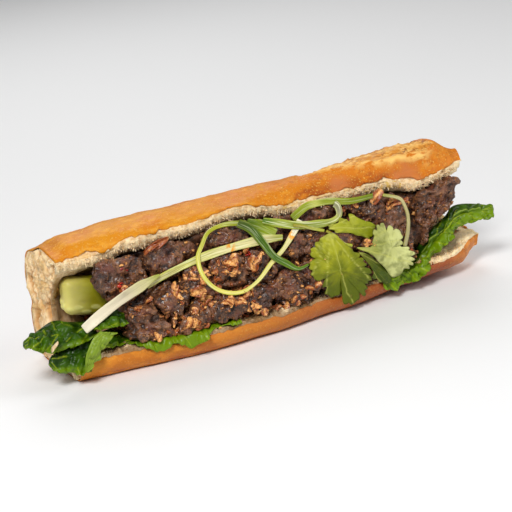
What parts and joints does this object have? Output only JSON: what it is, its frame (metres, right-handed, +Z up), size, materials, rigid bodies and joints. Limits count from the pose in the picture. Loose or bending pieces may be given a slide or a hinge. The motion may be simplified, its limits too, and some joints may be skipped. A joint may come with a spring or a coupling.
{
  "type": "beef rendang baguette sandwich",
  "caption": "Half baguette slit along one side and filled with lettuce, a cucumber baton and beef rendang, topped with spring onion strips and coriander sprigs.",
  "frame": {"origin": "on the flat sole, under the middle of the loaf's length and depth", "axes": "+X along the loaf from its cut end to its baked tip, -Y the open side with the filling, +Z up"},
  "size_m": [0.3042, 0.0775, 0.0837],
  "materials": {
    "crust": "baked crust with a soft sheen",
    "beef": "moist stewed meat",
    "cucumber": "wet peeled flesh",
    "lettuce": "waxy leaf",
    "onion_white": "moist, smooth",
    "onion_green": "moist, smooth",
    "coriander": "thin matt leaf"
  },
  "bodies": {
    "root": {"bread": "crust", "cucumber": "cucumber", "beef_01": "beef", "beef_02": "beef", "beef_03": "beef", "beef_04": "beef", "beef_05": "beef", "beef_06": "beef", "beef_07": "beef", "beef_08": "beef", "beef_09": "beef", "beef_10": "beef", "beef_11": "beef", "beef_12": "beef", "beef_13": "beef", "beef_14": "beef", "beef_15": "beef", "beef_16": "beef", "beef_17": "beef", "beef_18": "beef", "beef_19": "beef", "beef_20": "beef", "beef_21": "beef", "beef_22": "beef", "lettuce_upper_left": "lettuce", "lettuce_lower_left": "lettuce", "lettuce_right": "lettuce", "onion_long": "onion_white", "onion_stalk": "onion_white", "onion_short": "onion_green", "onion_loop": "onion_green", "onion_dark": "onion_green", "onion_under_lid": "onion_green", "onion_folded": "onion_green", "coriander_front": "coriander", "coriander_pale": "coriander", "coriander_behind": "coriander", "coriander_low": "coriander", "coriander_stem_main": "coriander", "coriander_stem_side": "coriander"}
  },
  "joints": []
}
